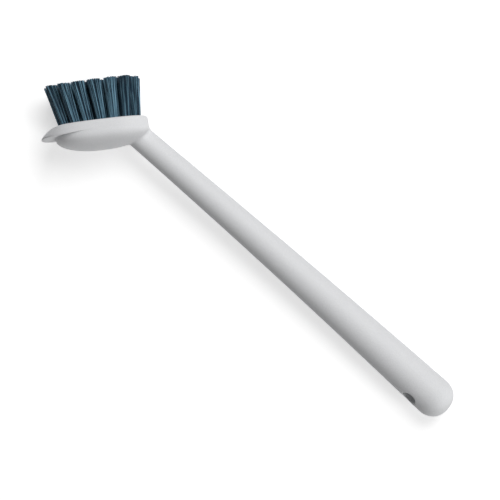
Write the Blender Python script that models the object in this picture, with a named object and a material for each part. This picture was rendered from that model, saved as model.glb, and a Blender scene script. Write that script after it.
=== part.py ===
"""Kitchen brush: one moulded handle, head and scraper, with 29 anchored bristle tufts.

Head frame: X towards the scraper, Y across the head, Z the way the bristles point, and
the origin on the flat deck in the middle of the tufts. The whole brush then hangs from
an empty that lays it on its side, as it rests on a table.
"""

import math

import bmesh
import bpy
import numpy as np
from mathutils import Matrix, Vector

# Clearances
GAP = 0.0003
CUT_OVERRUN = 0.004

# Tuft field: a middle row, an inner ring one pitch out and an outer ring two pitches out
TUFT_PITCH = 0.00662
MIDDLE_COUNT = 3
INNER_COUNT = 10
OUTER_COUNT = 16
FIELD_POWER = 3.0
LEAN_FRONT_DEG = 11.5
LEAN_REAR_DEG = -3.4
LEAN_SIDE_DEG = 2.2
TRIM_HEIGHT = 0.0226
TRIM_TILT_DEG = 0.9

# Sockets, tuft roots, strands and anchors
SOCKET_WALL = 0.00145
SOCKET_DEPTH = 0.0066
ROOT_DROP = 0.0005
STRAND_RADIUS_SHARE = 0.19
STRAND_SPREAD_SHARE = 0.54
STRAND_RING_SHARES = ((0.0, 1), (0.50, 4), (1.0, 8))
STRAND_SIDES = 3
ANCHOR_BITE = 0.0003
ANCHOR_HEIGHT = 0.0016
ANCHOR_THICKNESS = 0.0005
ANCHOR_TURN_DEG = 30.0

# Deck, the flat face that carries the tufts: how far it reaches past the outer sockets
DECK_PAST_FRONT = 0.00225
DECK_PAST_REAR = 0.0021
DECK_PAST_SIDE = 0.0017
OUTLINE_POWER = 2.8

# Brim that runs round the deck and reaches forward as a scraper
SCRAPER_REACH = 0.00785
SCRAPER_OVERHANG = 0.0078
BRIM_FLARE = 0.0013
BAND_HEIGHT = 0.0062
LIP_THICKNESS = 0.0007
LIP_RADIUS = 0.0003
BRIM_POWER = 3.2
UNDERSIDE_DEPTH = 0.0047
UNDERSIDE_TILT_DEG = 2.2
SCRAPER_ARCH_SHARE = 0.25
LIP_START_SHARE = 0.5
OVERHANG_SHARES = (-0.15, 0.60)
SCRAPER_TIP_SHARES = (0.80, 1.0)

# Domed underside of the head
DOME_DEPTH = 0.0081

# Handle, a tapered rod that leaves the back of the dome at the foot of the band
HANDLE_TILT_DEG = 48.9
HANDLE_LENGTH = 0.2229
NECK_RADIUS = 0.00673
END_RADIUS = 0.01107
TAPER_POWER = 1.15
END_POWER = 2.2
HANDLE_BOW = 0.0009
NECK_BLEND = 0.0020
NECK_RUN = 0.0100

# Hanging hole
HOLE_FROM_END = 0.0203
HOLE_RADIUS = 0.0046
HOLE_MOUTH_RADIUS = 0.0004

# Counts that set how finely the surfaces are divided
AROUND = 48
WALL_RINGS = 5
LIP_RINGS = 2
NECK_RINGS = 14
PATH_POINTS = 60
WALL_POINTS = 12
HANDLE_RINGS = 9
END_RINGS = 6
SOCKET_SIDES = 12
HOLE_SIDES = 28
MOUTH_STEPS = 4
RING_SAMPLES = 4001
PROJECTION_STEPS = 8
HALVING_STEPS = 40
RESTING_STEPS = 20

# Colours as seen in daylight
PLASTIC_COLOUR = (0.72, 0.73, 0.74, 1.0)
BRISTLE_COLOUR = (0.055, 0.115, 0.150, 1.0)
STEEL_COLOUR = (0.60, 0.60, 0.62, 1.0)


def clear_scene():
    """Remove every object that the file holds."""
    for item in list(bpy.data.objects):
        bpy.data.objects.remove(item, do_unlink=True)


def plain_material(name, colour, roughness, metallic):
    """One Principled BSDF material with a colour, a roughness and a metallic value."""
    material = bpy.data.materials.new(name)
    material.use_nodes = True
    shader = material.node_tree.nodes["Principled BSDF"]
    shader.inputs["Base Color"].default_value = colour
    shader.inputs["Roughness"].default_value = roughness
    shader.inputs["Metallic"].default_value = metallic
    material.diffuse_color = colour
    return material


def add_object(name, mesh, material, parent):
    """Link a mesh to the scene as a smooth-shaded object with one material."""
    item = bpy.data.objects.new(name, mesh)
    bpy.context.scene.collection.objects.link(item)
    mesh.materials.clear()
    mesh.materials.append(material)
    mesh.shade_smooth()
    mesh.set_sharp_from_angle(angle=math.radians(40))
    item.parent = parent
    return item


def mesh_from_bmesh(name, bm):
    """Turn a bmesh into a mesh with all its faces pointing out."""
    bmesh.ops.recalc_face_normals(bm, faces=bm.faces)
    mesh = bpy.data.meshes.new(name)
    bm.to_mesh(mesh)
    bm.free()
    return mesh


def combine(mesh, tool_mesh, operation):
    """Join or cut one mesh with another by an exact Boolean and return the result."""
    target = bpy.data.objects.new("target", mesh)
    tool = bpy.data.objects.new("tool", tool_mesh)
    for item in (target, tool):
        bpy.context.scene.collection.objects.link(item)
    tool.hide_render = True
    tool.display_type = "WIRE"
    modifier = target.modifiers.new("combine", "BOOLEAN")
    modifier.operation = operation
    modifier.solver = "EXACT"
    modifier.object = tool
    graph = bpy.context.evaluated_depsgraph_get()
    result = bpy.data.meshes.new_from_object(target.evaluated_get(graph))
    result.name = mesh.name
    for item in (target, tool):
        bpy.data.objects.remove(item, do_unlink=True)
    return result


def smooth_step(value):
    """Ease from 0 to 1 as the value runs from 0 to 1."""
    value = np.clip(value, 0.0, 1.0)
    return value * value * (3.0 - 2.0 * value)


def oval(angles, size, power):
    """Points of an egg-shaped superellipse: X reaches front one way and rear the other."""
    front, rear, half_width = size
    cosine = np.cos(angles)
    sine = np.sin(angles)
    reach = np.where(cosine > 0.0, front, rear)
    x = reach * np.sign(cosine) * np.abs(cosine) ** (2.0 / power)
    y = half_width * np.sign(sine) * np.abs(sine) ** (2.0 / power)
    return np.stack([x, y], axis=-1)


def oval_share(points, size, power):
    """Share of the way from the middle to the oval's edge at each plan point."""
    front, rear, half_width = size
    reach = np.where(points[..., 0] > 0.0, front, rear)
    return (np.abs(points[..., 0] / reach) ** power
            + np.abs(points[..., 1] / half_width) ** power) ** (1.0 / power)


def socket_radius():
    """Half of what the wall between two sockets leaves of the pitch."""
    return (TUFT_PITCH - SOCKET_WALL) / 2.0


def field_size(rings_out):
    """Half length and half width of the ring that lies so many pitches out."""
    middle = TUFT_PITCH * (MIDDLE_COUNT - 1) / 2.0
    return middle + rings_out * TUFT_PITCH, rings_out * TUFT_PITCH


def deck_size():
    """Front reach, rear reach and half width of the deck round its sockets."""
    length, width = field_size(2)
    length = length + socket_radius()
    width = width + socket_radius()
    return length + DECK_PAST_FRONT, length + DECK_PAST_REAR, width + DECK_PAST_SIDE


def brim_size():
    """Front reach, rear reach and half width of the brim's lower edge."""
    front, rear, width = deck_size()
    return front + SCRAPER_REACH, rear + BRIM_FLARE, width + BRIM_FLARE


def dome_size():
    """Front reach, rear reach and half width of the dome where it starts."""
    front, rear, width = brim_size()
    return front - SCRAPER_OVERHANG, rear, width


def underside_depth(x):
    """Depth of the brim's flat underside, which slants down towards the scraper's tip."""
    return UNDERSIDE_DEPTH + x * math.tan(math.radians(UNDERSIDE_TILT_DEG))


def brim_depth(x):
    """Depth below the deck of the brim's lower edge: a lip's thickness above its underside."""
    return underside_depth(x) - LIP_THICKNESS


def handle_axes():
    """The neck point, the direction to the handle's end and the direction under it."""
    tilt = math.radians(HANDLE_TILT_DEG)
    along = np.array([-math.cos(tilt), 0.0, -math.sin(tilt)])
    under = np.array([math.sin(tilt), 0.0, -math.cos(tilt)])
    band_foot = np.array([-brim_size()[1], 0.0, -BAND_HEIGHT])
    return band_foot + NECK_RADIUS * under, along, under


def handle_middle(distance):
    """Middle of the handle at each distance from the neck, bowed to the bristle side."""
    start, along, under = handle_axes()
    share = np.clip(distance / HANDLE_LENGTH, 0.0, 1.0)
    bow = HANDLE_BOW * np.sin(math.pi * share)
    return start + distance[..., None] * along - bow[..., None] * under


def handle_radius(distance):
    """Radius of the taper from the neck to the start of the round end, slightly hollow."""
    share = np.clip(distance / (HANDLE_LENGTH - END_RADIUS), 0.0, 1.0)
    return NECK_RADIUS + (END_RADIUS - NECK_RADIUS) * share ** TAPER_POWER


def handle_points(distance, angles):
    """Points on the handle's side: angle 0 lies underneath, half a turn on top."""
    under = handle_axes()[2]
    sideways = np.array([0.0, 1.0, 0.0])
    spoke = np.cos(angles)[..., None] * under + np.sin(angles)[..., None] * sideways
    return handle_middle(distance) + handle_radius(distance)[..., None] * spoke


def head_distance(points):
    """About how far each point lies outside the band and dome of the head."""
    front, rear, width = dome_size()
    down = np.clip(-points[..., 2] / brim_depth(points[..., 0]), 0.0, 1.0)
    out = (1.0 - (1.0 - down) ** BRIM_POWER) ** (1.0 / BRIM_POWER)
    inset = BRIM_FLARE * (1.0 - out)
    share = oval_share(points, (front - inset, rear - inset, width - inset), OUTLINE_POWER)
    below = np.maximum(-BAND_HEIGHT - points[..., 2], 0.0)
    size = np.maximum(np.sqrt(share ** 2 + (below / DOME_DEPTH) ** 2), 1e-6)
    reach = np.sqrt(points[..., 0] ** 2 + points[..., 1] ** 2 + below ** 2)
    return reach * (1.0 - 1.0 / size)


def handle_distance(points):
    """How far each point lies outside the handle's side."""
    start, along, _ = handle_axes()
    distance = (points - start) @ along
    middle = handle_middle(distance)
    return np.linalg.norm(points - middle, axis=-1) - handle_radius(distance)


def blended_distance(points):
    """Distance to head and handle together, rounded where the two meet."""
    head = head_distance(points)
    handle = handle_distance(points)
    overlap = np.maximum(NECK_BLEND - np.abs(head - handle), 0.0) / NECK_BLEND
    return np.minimum(head, handle) - overlap ** 2 * NECK_BLEND / 4.0


def settle_on_blend(points):
    """Move points along the gradient of the blended distance until it is zero."""
    step = GAP / 10.0
    for _ in range(PROJECTION_STEPS):
        value = blended_distance(points)
        gradient = np.zeros_like(points)
        for axis in range(3):
            shifted = points.copy()
            shifted[..., axis] += step
            gradient[..., axis] = (blended_distance(shifted) - value) / step
        size = np.maximum(np.sum(gradient ** 2, axis=-1), 1e-9)
        points = points - (value / size)[..., None] * gradient
    return points


def settle_near_handle(points):
    """Move only those points that lie where the head is rounded into the handle."""
    near = handle_distance(points) < NECK_BLEND
    return np.where(near[..., None], settle_on_blend(points), points)


def where_handle_leaves(angles):
    """Distance along the handle, for each angle round it, at which it leaves the head."""
    inner = np.full(angles.shape, -(NECK_RADIUS + DOME_DEPTH))
    outer = np.full(angles.shape, NECK_RADIUS + DOME_DEPTH)
    for _ in range(HALVING_STEPS):
        middle = (inner + outer) / 2.0
        inside = head_distance(handle_points(middle, angles)) < 0.0
        inner = np.where(inside, middle, inner)
        outer = np.where(inside, outer, middle)
    return inner


def spread_along(paths, count):
    """Place count points evenly along each path, both of its ends included."""
    lengths = np.linalg.norm(np.diff(paths, axis=1), axis=-1)
    travelled = np.concatenate([np.zeros((len(paths), 1)), np.cumsum(lengths, axis=1)], axis=1)
    wanted = np.linspace(0.0, 1.0, count)
    result = np.empty((len(paths), count, 3))
    for row, path in enumerate(paths):
        places = wanted * travelled[row, -1]
        for axis in range(3):
            result[row, :, axis] = np.interp(places, travelled[row], path[:, axis])
    return result


def fade(angles, shares):
    """Ease from 0 to 1 as the cosine of the angle runs from one share to the other."""
    return smooth_step((np.cos(angles) - shares[0]) / (shares[1] - shares[0]))


def front_weight(angles):
    """1 where the brim overhangs, at the front, and 0 round the back."""
    return fade(angles, OVERHANG_SHARES)


def brim_profile(share, tip):
    """How far out and down the brim's outside has come at a share of its way.

    Round the head it bulges like a quarter superellipse. At the scraper's tip it runs out
    evenly and falls ever more steeply, so that it ends in an edge.
    """
    turn = share * math.pi / 2.0
    out = math.sin(turn) ** (2.0 / BRIM_POWER)
    down = 1.0 - max(math.cos(turn), 0.0) ** (2.0 / BRIM_POWER)
    fall = SCRAPER_ARCH_SHARE * share + (1.0 - SCRAPER_ARCH_SHARE) * share ** 2
    return out + (share - out) * tip, down + (fall - down) * tip


def brim_rings(angles):
    """Rings from the deck's edge down the outside of the brim and round its lip."""
    weight = front_weight(angles)
    deck = oval(angles, deck_size(), OUTLINE_POWER)
    brim = oval(angles, brim_size(), OUTLINE_POWER)
    dome = oval(angles, dome_size(), OUTLINE_POWER)
    tip = fade(angles, SCRAPER_TIP_SHARES)
    edge = brim_depth(brim[:, 0])
    rings = []
    for share in np.linspace(0.0, 1.0, WALL_RINGS + 1):
        out, down = brim_profile(share, tip)
        plan = deck + (brim - deck) * out[:, None]
        rings.append(np.column_stack([plan, -edge * down]))
    overhang = np.linalg.norm(brim - dome, axis=1)
    inward = np.minimum(LIP_RADIUS, overhang / 2.0) / np.maximum(overhang, LIP_RADIUS)
    for turn in np.linspace(LIP_START_SHARE, 1.0, LIP_RINGS) * math.pi / 2.0:
        plan = brim + (dome - brim) * (inward * (1.0 - math.cos(turn)))[:, None]
        thick = (underside_depth(plan[:, 0]) - edge) * (1.0 + weight) / 2.0
        rings.append(np.column_stack([plan, -edge - thick * math.sin(turn)]))
    return [settle_near_handle(ring) for ring in rings]


def neck_rings(angles):
    """Rings that run from under the brim over the dome and out along the handle's start."""
    edge = oval(angles, dome_size(), OUTLINE_POWER)
    leaves = where_handle_leaves(angles)
    inner = handle_points(leaves, angles)[:, :2]
    start = underside_depth(edge[:, 0])
    stretches = []
    for share in np.linspace(0.0, 1.0, WALL_POINTS, endpoint=False):
        stretches.append(np.column_stack([edge, -start - (BAND_HEIGHT - start) * share]))
    for share in np.linspace(0.0, 1.0, PATH_POINTS, endpoint=False):
        plan = edge + (inner - edge) * (1.0 - math.cos(share * math.pi / 2.0))
        size = oval_share(plan, dome_size(), OUTLINE_POWER)
        depth = BAND_HEIGHT + DOME_DEPTH * np.sqrt(np.maximum(1.0 - size ** 2, 0.0))
        stretches.append(np.column_stack([plan, -depth]))
    for share in np.linspace(0.0, 1.0, PATH_POINTS):
        stretches.append(handle_points(leaves + (NECK_RUN - leaves) * share, angles))
    paths = settle_on_blend(np.stack(stretches, axis=1))
    rings = spread_along(paths, NECK_RINGS)
    return [rings[:, index] for index in range(NECK_RINGS)]


def handle_rings(angles):
    """Rings along the handle and over its round end, all but the last point."""
    rings = []
    length = HANDLE_LENGTH - END_RADIUS
    for share in np.linspace(0.0, 1.0, HANDLE_RINGS + 1)[1:]:
        distance = np.full(angles.shape, NECK_RUN + (length - NECK_RUN) * share)
        rings.append(handle_points(distance, angles))
    middle = handle_middle(np.array([length]))[0]
    _, along, _ = handle_axes()
    spokes = rings[-1] - middle
    for turn in np.linspace(0.0, math.pi / 2.0, END_RINGS + 1)[1:-1]:
        wide = math.cos(turn) ** (2.0 / END_POWER)
        out = math.sin(turn) ** (2.0 / END_POWER)
        rings.append(middle + spokes * wide + along * END_RADIUS * out)
    return rings


def moulding_rings():
    """All rings of the moulding, from the deck's edge to the handle's round end."""
    angles = np.linspace(0.0, 2.0 * math.pi, AROUND, endpoint=False)
    return brim_rings(angles) + neck_rings(angles) + handle_rings(angles)


def moulding_mesh():
    """Bridge the rings into one closed skin: a flat deck, then sides, then a round end."""
    rings = moulding_rings()
    bm = bmesh.new()
    loops = [[bm.verts.new(point) for point in ring] for ring in rings]
    for upper, lower in zip(loops, loops[1:]):
        for index in range(AROUND):
            following = (index + 1) % AROUND
            bm.faces.new((upper[index], upper[following], lower[following], lower[index]))
    bm.faces.new(loops[0])
    _, along, _ = handle_axes()
    middle = handle_middle(np.array([HANDLE_LENGTH - END_RADIUS]))[0]
    tip = bm.verts.new(middle + along * END_RADIUS)
    for index in range(AROUND):
        bm.faces.new((loops[-1][index], loops[-1][(index + 1) % AROUND], tip))
    return mesh_from_bmesh("brush_body", bm)


def evenly_round(rings_out, count):
    """Places spaced evenly round a ring of the field, the first at its front."""
    length, width = field_size(rings_out)
    angles = np.linspace(0.0, 2.0 * math.pi, RING_SAMPLES)
    line = oval(angles, (length, length, width), FIELD_POWER)
    steps = np.linalg.norm(np.diff(line, axis=0), axis=1)
    travelled = np.concatenate([[0.0], np.cumsum(steps)])
    wanted = np.arange(count) * travelled[-1] / count
    x = np.interp(wanted, travelled, line[:, 0])
    y = np.interp(wanted, travelled, line[:, 1])
    return list(zip(x.tolist(), y.tolist()))


def tuft_places():
    """Names and plan places of all tufts: an outer ring, an inner ring and a middle row."""
    places = []
    for number, place in enumerate(evenly_round(2, OUTER_COUNT), 1):
        places.append((f"outer_{number:02d}", place))
    for number, place in enumerate(evenly_round(1, INNER_COUNT), 1):
        places.append((f"inner_{number:02d}", place))
    for number in range(MIDDLE_COUNT):
        along = (number - (MIDDLE_COUNT - 1) / 2.0) * TUFT_PITCH
        places.append((f"middle_{number + 1}", (along, 0.0)))
    return places


def tuft_matrix(place):
    """Where a tuft stands: its socket's mouth, turned the way that the tuft leans."""
    x, y = place
    middle = (LEAN_FRONT_DEG + LEAN_REAR_DEG) / 2.0
    swing = (LEAN_FRONT_DEG - LEAN_REAR_DEG) / 2.0
    length, width = field_size(2)
    share = max(-1.0, min(1.0, x / length))
    forward = math.radians(middle + swing * math.sin(share * math.pi / 2.0))
    sideways = math.radians(LEAN_SIDE_DEG * y / width)
    axis = Vector((math.tan(forward), math.tan(sideways), 1.0)).normalized()
    turn = Vector((0.0, 0.0, 1.0)).rotation_difference(axis)
    return Matrix.Translation((x, y, 0.0)) @ turn.to_matrix().to_4x4()


def cylinder(bm, radius, low, high, sides, matrix):
    """Add a closed cylinder between two heights of a local frame."""
    made = bmesh.ops.create_cone(bm, cap_ends=True, segments=sides, radius1=radius,
                                 radius2=radius, depth=high - low)
    raised = matrix @ Matrix.Translation((0.0, 0.0, (low + high) / 2.0))
    bmesh.ops.transform(bm, matrix=raised, verts=made["verts"])


def block(bm, length, width, low, high, matrix):
    """Add a closed box, centred in plan, between two heights of a local frame."""
    made = bmesh.ops.create_cube(bm, size=1.0)
    sides = Matrix.Diagonal((length, width, high - low, 1.0))
    raised = matrix @ Matrix.Translation((0.0, 0.0, (low + high) / 2.0))
    bmesh.ops.transform(bm, matrix=raised @ sides, verts=made["verts"])


def anchor_turn():
    """The turn of every anchor about its tuft's own axis."""
    return Matrix.Rotation(math.radians(ANCHOR_TURN_DEG), 4, "Z")


def anchor_low():
    """Height of the anchors' lower edge: a gap above the socket's floor."""
    return -SOCKET_DEPTH + GAP


def slot_heights():
    """Lower and upper height of a slot that clears an anchor by a gap all round."""
    return -SOCKET_DEPTH - GAP, anchor_low() + ANCHOR_HEIGHT + GAP


def socket_cutter(places):
    """One cylinder for every tuft, from its socket's floor to above the deck."""
    bm = bmesh.new()
    for _, place in places:
        cylinder(bm, socket_radius(), -SOCKET_DEPTH, CUT_OVERRUN, SOCKET_SIDES, tuft_matrix(place))
    return mesh_from_bmesh("sockets", bm)


def anchor_length():
    """Length of an anchor: across its socket and a little into the wall at both ends."""
    return 2.0 * (socket_radius() + ANCHOR_BITE)


def slot_cutter(places):
    """One box for every anchor: the slot that its ends cut in the socket's wall."""
    bm = bmesh.new()
    length = anchor_length() + 2.0 * GAP
    width = ANCHOR_THICKNESS + 2.0 * GAP
    for _, place in places:
        block(bm, length, width, *slot_heights(), tuft_matrix(place) @ anchor_turn())
    return mesh_from_bmesh("anchor_slots", bm)


def hole_cutter():
    """Turned cutter for the hanging hole, with both mouths flared by a quarter arc."""
    distance = np.array([HANDLE_LENGTH - HOLE_FROM_END])
    middle = handle_middle(distance)[0]
    half = float(handle_radius(distance)[0])
    straight = half - HOLE_MOUTH_RADIUS
    side = [(HOLE_RADIUS, straight * step / MOUTH_STEPS) for step in range(MOUTH_STEPS)]
    for turn in np.linspace(0.0, math.pi / 2.0, MOUTH_STEPS + 1):
        side.append((HOLE_RADIUS + HOLE_MOUTH_RADIUS * (1.0 - math.cos(turn)),
                     straight + HOLE_MOUTH_RADIUS * math.sin(turn)))
    side.append((HOLE_RADIUS + HOLE_MOUTH_RADIUS, half + CUT_OVERRUN))
    profile = [(radius, -height) for radius, height in reversed(side[1:])] + side
    bm = bmesh.new()
    loops = []
    for radius, height in profile:
        made = bmesh.ops.create_circle(bm, segments=HOLE_SIDES, radius=radius,
                                       matrix=Matrix.Translation((0.0, 0.0, height)))
        loops.append(made["verts"])
    for lower, upper in zip(loops, loops[1:]):
        for index in range(HOLE_SIDES):
            following = (index + 1) % HOLE_SIDES
            bm.faces.new((lower[index], lower[following], upper[following], upper[index]))
    bm.faces.new(loops[0])
    bm.faces.new(loops[-1])
    under = Vector(handle_axes()[2])
    turn = Vector((0.0, 0.0, 1.0)).rotation_difference(under).to_matrix().to_4x4()
    bmesh.ops.transform(bm, matrix=Matrix.Translation(middle) @ turn, verts=bm.verts)
    return mesh_from_bmesh("hanging_hole", bm)


def make_body(places, material, parent):
    """The moulding: the lofted skin less its sockets, anchor slots and hanging hole."""
    mesh = combine(moulding_mesh(), socket_cutter(places), "DIFFERENCE")
    mesh = combine(mesh, slot_cutter(places), "DIFFERENCE")
    mesh = combine(mesh, hole_cutter(), "DIFFERENCE")
    return add_object("brush_body", mesh, material, parent)


def root_radius():
    """Radius of a tuft's root: the socket's less the gap round it."""
    return socket_radius() - GAP


def root_mesh():
    """The packed root of a tuft, slotted from below where it is folded over its anchor."""
    bm = bmesh.new()
    cylinder(bm, root_radius(), anchor_low(), -ROOT_DROP, SOCKET_SIDES, Matrix())
    slot = bmesh.new()
    width = ANCHOR_THICKNESS + 2.0 * GAP
    block(slot, anchor_length(), width, *slot_heights(), anchor_turn())
    root = mesh_from_bmesh("root", bm)
    return combine(root, mesh_from_bmesh("root_slot", slot), "DIFFERENCE")


def strand_radius():
    """Distance from a strand's middle to its corners at the root."""
    return root_radius() * STRAND_RADIUS_SHARE


def strand_roots():
    """Plan places of a tuft's strands at its root: one, then a ring, then a wider ring."""
    reach = root_radius() - strand_radius() - GAP / 2.0
    places = []
    for share, count in STRAND_RING_SHARES:
        for index in range(count):
            angle = 2.0 * math.pi * (index + share / 2.0) / count
            places.append((reach * share * math.cos(angle), reach * share * math.sin(angle), angle))
    return places


def strands_mesh(matrix):
    """Flared strands that start inside the root and end on the trimmed plane.

    Every point keeps its direction from the root's middle while the whole bundle widens
    evenly with height, so no two strands can meet. Each corner runs up to the height at
    which the leaning tuft reaches the trim.
    """
    spread = STRAND_SPREAD_SHARE / TRIM_HEIGHT
    slope = math.tan(math.radians(TRIM_TILT_DEG))
    rise = matrix.to_3x3().row[2] + slope * matrix.to_3x3().row[0]
    trim = TRIM_HEIGHT - slope * matrix.translation.x
    bottom = -2.0 * ROOT_DROP
    bm = bmesh.new()
    for x, y, angle in strand_roots():
        low = []
        high = []
        for side in range(STRAND_SIDES):
            turn = angle + 2.0 * math.pi * side / STRAND_SIDES
            px = x + strand_radius() * math.cos(turn)
            py = y + strand_radius() * math.sin(turn)
            across = rise[0] * px + rise[1] * py
            height = (trim - across) / (rise[2] + across * spread)
            wide = 1.0 + spread * height
            narrow = 1.0 + spread * bottom
            low.append(bm.verts.new((px * narrow, py * narrow, bottom)))
            high.append(bm.verts.new((px * wide, py * wide, height)))
        for side in range(STRAND_SIDES):
            following = (side + 1) % STRAND_SIDES
            bm.faces.new((low[side], low[following], high[following], high[side]))
        bm.faces.new(low)
        bm.faces.new(high)
    return mesh_from_bmesh("strands", bm)


def make_tufts(places, material, parent):
    """Every tuft: a root fused with its strands, leaning as its socket does."""
    root = root_mesh()
    for name, place in places:
        matrix = tuft_matrix(place)
        mesh = combine(root.copy(), strands_mesh(matrix), "UNION")
        mesh.name = "tuft_" + name
        tuft = add_object("tuft_" + name, mesh, material, parent)
        tuft.matrix_local = matrix


def make_anchors(places, material, parent):
    """Every anchor: a flat metal clip that pins a folded tuft in its socket."""
    bm = bmesh.new()
    low = anchor_low()
    block(bm, anchor_length(), ANCHOR_THICKNESS, low, low + ANCHOR_HEIGHT, Matrix())
    mesh = mesh_from_bmesh("anchor", bm)
    for name, place in places:
        anchor = add_object("anchor_" + name, mesh, material, parent)
        anchor.matrix_local = tuft_matrix(place) @ anchor_turn()


def lowest(points, upward):
    """The point of a set that lies lowest when a given direction points up."""
    return points[np.argmin(points @ upward)]


def resting_upward(tip_points):
    """Up direction of the brush lying on its side, on the brim, the tips and the handle.

    The table touches the lowest point of each of the three, so the plane through them is
    found again and again until the three points stay the same.
    """
    rings = moulding_rings()
    brim = np.concatenate(rings[:WALL_RINGS + LIP_RINGS + 2])
    handle = np.concatenate(rings[-HANDLE_RINGS - END_RINGS:])
    upward = np.array([0.0, 1.0, 0.0])
    for _ in range(RESTING_STEPS):
        first, second, third = (lowest(group, upward) for group in (brim, tip_points, handle))
        normal = np.cross(second - first, third - first)
        upward = normal / np.linalg.norm(normal)
        if upward[1] < 0.0:
            upward = -upward
    return upward


def lay_down(pose, items):
    """Turn the brush onto its side, handle along +X, and stand it on the origin's plane."""
    tips = []
    for item in items:
        if item.name.startswith("tuft_"):
            corners = np.array([item.matrix_local @ vertex.co for vertex in item.data.vertices])
            tips.append(corners[corners[:, 2] > TRIM_HEIGHT / 2.0])
    up = Vector(resting_upward(np.concatenate(tips)))
    along = Vector(handle_axes()[1])
    forward = (along - up * along.dot(up)).normalized()
    across = up.cross(forward)
    turn = Matrix((forward, across, up)).to_4x4()
    corners = np.concatenate([
        np.array([turn @ item.matrix_local @ vertex.co for vertex in item.data.vertices])
        for item in items])
    low = corners.min(axis=0)
    high = corners.max(axis=0)
    shift = Vector((-(low[0] + high[0]) / 2.0, -(low[1] + high[1]) / 2.0, -low[2]))
    pose.matrix_world = Matrix.Translation(shift) @ turn


def main():
    """Build the brush and lay it on its side."""
    clear_scene()
    plastic = plain_material("grey_plastic", PLASTIC_COLOUR, 0.55, 0.0)
    bristle = plain_material("blue_bristle", BRISTLE_COLOUR, 0.5, 0.0)
    steel = plain_material("anchor_steel", STEEL_COLOUR, 0.35, 1.0)
    pose = bpy.data.objects.new("brush_pose", None)
    bpy.context.scene.collection.objects.link(pose)
    places = tuft_places()
    make_body(places, plastic, pose)
    make_tufts(places, bristle, pose)
    make_anchors(places, steel, pose)
    items = [item for item in bpy.data.objects if item.type == "MESH"]
    lay_down(pose, items)
    bpy.context.view_layer.update()


main()
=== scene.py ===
"""Kitchen brush: the fine moulding, the filament tufts, their finishes and a plain studio.

Head frame: X towards the scraper, Y across the head, Z the way the bristles point, and
the origin on the flat deck in the middle of the tufts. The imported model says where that
frame lies, so every surface is worked out there and then placed.
"""

import math
from collections import namedtuple

import bpy
import numpy as np
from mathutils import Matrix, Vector
from mathutils.geometry import delaunay_2d_cdt


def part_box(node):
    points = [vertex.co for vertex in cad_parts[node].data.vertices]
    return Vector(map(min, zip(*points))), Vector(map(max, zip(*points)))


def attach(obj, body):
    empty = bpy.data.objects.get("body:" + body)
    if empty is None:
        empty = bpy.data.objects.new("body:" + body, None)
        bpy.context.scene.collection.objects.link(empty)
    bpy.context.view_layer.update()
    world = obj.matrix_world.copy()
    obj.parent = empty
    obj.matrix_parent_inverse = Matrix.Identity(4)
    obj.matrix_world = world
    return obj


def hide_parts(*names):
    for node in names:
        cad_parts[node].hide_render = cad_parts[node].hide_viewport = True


bl_info = {
    "name": "Kitchen Brush",
    "version": (1, 0, 0),
    "blender": (4, 5, 0),
    "location": "View3D > Sidebar > Brush",
    "description": "Builds a moulded dish brush with filament tufts and lights it",
    "category": "Add Mesh",
}

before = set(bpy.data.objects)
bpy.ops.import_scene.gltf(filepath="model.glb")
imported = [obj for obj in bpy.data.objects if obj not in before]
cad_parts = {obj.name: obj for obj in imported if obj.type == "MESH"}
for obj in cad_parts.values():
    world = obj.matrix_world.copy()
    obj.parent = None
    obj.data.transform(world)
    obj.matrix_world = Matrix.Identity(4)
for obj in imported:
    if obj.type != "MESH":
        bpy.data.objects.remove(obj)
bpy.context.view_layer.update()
BODY = "root"

# Tufts of the field, powers of the curves, and where plain wall fades to scraper
OUTER_COUNT = 16
INNER_COUNT = 10
MIDDLE_COUNT = 3
FIELD_POWER = 3.0
OUTLINE_POWER = 2.8
BRIM_POWER = 3.2
TAPER_POWER = 1.15
END_POWER = 2.2
END_TRIM_POWER = 5
OVERHANG_SHARES = (-0.15, 0.60)
SCRAPER_TIP_SHARES = (0.55, 1.0)

# How finely the surfaces are divided; the hole's turn is counted in columns round the
# handle, so that its patch lies on the grid
AROUND = 200
WALL_RINGS = 16
LIP_RINGS = 6
UNDERSIDE_RINGS = 4
NECK_RINGS = 80
PATH_POINTS = 110
WALL_POINTS = 20
SHAFT_RINGS = 70
HOLE_RINGS = 26
HOLE_COLUMNS = 25
HOLE_TURN_COLUMNS = 6
HOLE_LOOP_RINGS = 120
CAP_RINGS = 22
SOCKET_SIDES = 32
MOUTH_RINGS = 5
RING_SAMPLES = 4001
STRAND_SIDES = 5
STRAND_LEVEL_SHARES = (0.0, 0.17, 0.33, 0.50, 0.66, 0.82, 1.0)
GOLDEN_TURN = math.pi * (3.0 - math.sqrt(5.0))

# Steps and limits of the working out, the kind of output asked of the triangulation, and
# the angle past which an edge stays sharp
PROJECTION_STEPS = 10
HALVING_STEPS = 44
SLOPE_STEP = 2e-5
LEAST_SIZE = 1e-6
LEAST_SLOPE = 1e-9
ANCHOR_FIT = 2e-5
SAME_POINT = 1e-7
TRIANGLE_KIND = 5
SHARP_ANGLE = math.radians(38)

# How far apart the filaments lie in the streaks' noise, by chance and by tone, and how
# their own tone and the streaks make up their colour
STREAK_SPREAD = 60.0
STREAK_TONE = 40.0
TONE_SHARE = 0.5
DRIFT_SHARE = 0.5
TONE_POWER = 1.5

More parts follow.
